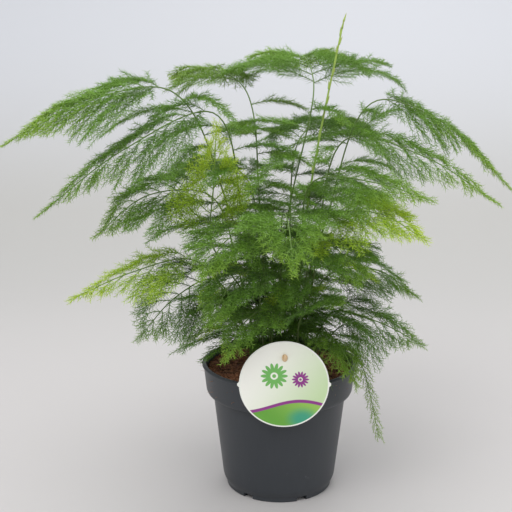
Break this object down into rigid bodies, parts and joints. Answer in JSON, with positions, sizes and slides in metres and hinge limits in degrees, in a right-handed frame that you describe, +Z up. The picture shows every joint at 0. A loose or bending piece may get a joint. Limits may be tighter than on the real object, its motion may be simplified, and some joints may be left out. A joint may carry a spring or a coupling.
{
  "type": "potted asparagus fern",
  "caption": "Asparagus fern with arching feathery plumes on wiry canes in a round dark plastic nursery pot filled with soil, with a round plant label on a stick.",
  "frame": {"origin": "middle of the flat underside of the pot, on the ground", "axes": "+Z up along the pot's axis, -Y towards the side with the label, +X to the right of the label as seen from the front; the plumes reach furthest along X"},
  "size_m": [0.38, 0.291, 0.36],
  "materials": {
    "pot_plastic": "dark grey satin moulded plastic",
    "soil": "moist reddish brown crumbly potting soil",
    "label": "thin printed plastic sheet, pale green with a satin gloss",
    "stick_wood": "pale smooth wood",
    "shoot": "yellow-green living stem, faintly waxy",
    "foliage_dark": "dark green living fern foliage on wiry green stems",
    "foliage_mid": "mid green living fern foliage on wiry green stems",
    "foliage_lime": "lime green living fern foliage on wiry green stems",
    "foliage_olive": "olive green living fern foliage on wiry green stems"
  },
  "bodies": {
    "root": {"pot": "pot_plastic", "soil": "soil", "plant_label": "label", "label_stick": "stick_wood", "new_shoot": "shoot", "frond_top_right": "foliage_mid", "frond_top_back": "foliage_mid", "frond_top_left": "foliage_mid", "frond_upper_left": "foliage_dark", "frond_olive_back_left": "foliage_olive", "frond_mid_back_right": "foliage_dark", "frond_upper_right": "foliage_mid", "frond_mid_right": "foliage_mid", "frond_mid_left": "foliage_mid", "frond_lime_left": "foliage_lime", "frond_low_left": "foliage_dark", "frond_lime_upright": "foliage_lime", "frond_front": "foliage_mid", "frond_lime_right": "foliage_lime", "frond_low_right": "foliage_dark", "frond_lowest_right": "foliage_dark", "frond_olive_rim": "foliage_olive", "branch_drooping_right": "foliage_olive", "frond_drooping_front": "foliage_mid", "frond_small_front": "foliage_dark", "frond_back_left": "foliage_dark", "frond_back_right": "foliage_mid", "frond_low_back": "foliage_dark", "frond_front_left": "foliage_mid", "frond_front_right": "foliage_dark", "frond_low_front_left": "foliage_dark"}
  },
  "joints": []
}
